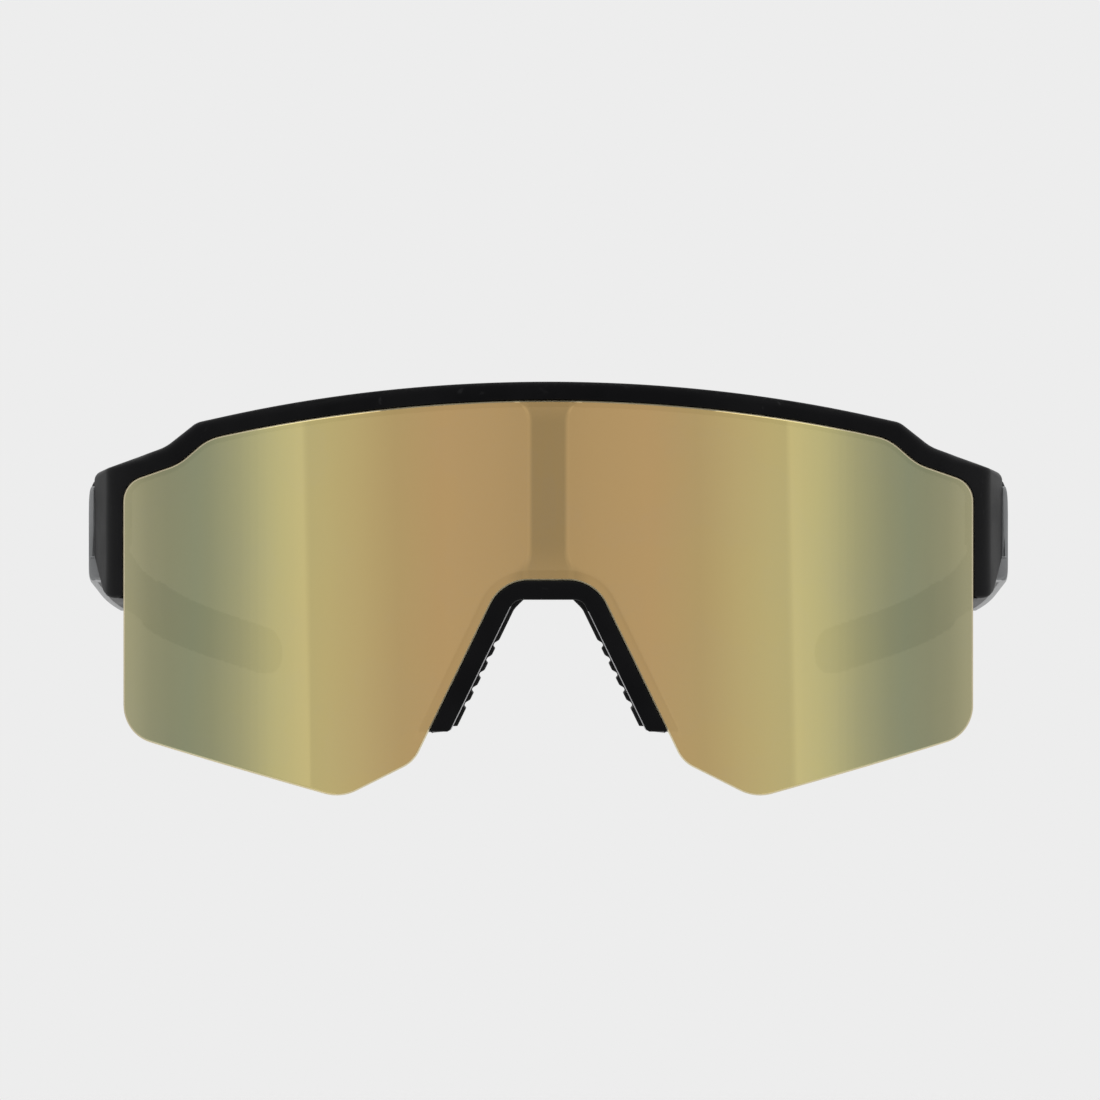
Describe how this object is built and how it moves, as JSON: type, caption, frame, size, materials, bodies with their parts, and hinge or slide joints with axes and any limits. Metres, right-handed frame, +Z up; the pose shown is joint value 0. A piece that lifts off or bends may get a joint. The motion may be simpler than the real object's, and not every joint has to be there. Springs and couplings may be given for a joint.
{
  "type": "wraparound sport sunglasses",
  "caption": "Wraparound sport sunglasses: one mirrored cylindrical shield lens in a half frame, with a nose bridge, nose pads and folding temples.",
  "frame": {"origin": "middle of the bottom of the whole open pair: below the centre of its box, at the height of the lens's lowest points", "axes": "+X to the wearer's left, +Y back from the lens to the temple tips, +Z up the face"},
  "size_m": [0.1466, 0.1666, 0.063],
  "materials": {
    "lens_mirror": "gold mirror coat on a smoke polycarbonate shield",
    "frame_black": "fine matte moulded nylon",
    "bridge_black": "fine matte moulded nylon",
    "pad_rubber": "soft-touch moulded rubber",
    "temple_black": "fine matte moulded nylon",
    "trim_grey": "satin grey moulded plastic",
    "grip_rubber": "soft-touch rubber with fine grooves",
    "screw_steel": "turned stainless steel",
    "insert_brass": "turned brass"
  },
  "bodies": {
    "front": {"brow_frame": "frame_black", "shield_lens": "lens_mirror", "nose_bridge": "bridge_black", "nose_pad_left": "pad_rubber", "nose_pad_right": "pad_rubber", "hinge_screw_left": "screw_steel", "hinge_screw_right": "screw_steel", "hinge_insert_left": "insert_brass", "hinge_insert_right": "insert_brass"},
    "temple_left": {"temple_arm_left": "temple_black", "temple_trim_left": "trim_grey", "temple_grip_left": "grip_rubber"},
    "temple_right": {"temple_arm_right": "temple_black", "temple_trim_right": "trim_grey", "temple_grip_right": "grip_rubber"}
  },
  "joints": [
    {"name": "left_hinge", "type": "hinge", "parent": "front", "child": "temple_left", "pos_m": [0.0676, -0.03789, 0.04301], "axis": [0, 0, 1], "range_deg": [0, 90]},
    {"name": "right_hinge", "type": "hinge", "parent": "front", "child": "temple_right", "pos_m": [-0.0676, -0.03789, 0.04301], "axis": [0, 0, -1], "range_deg": [0, 78]}
  ]
}
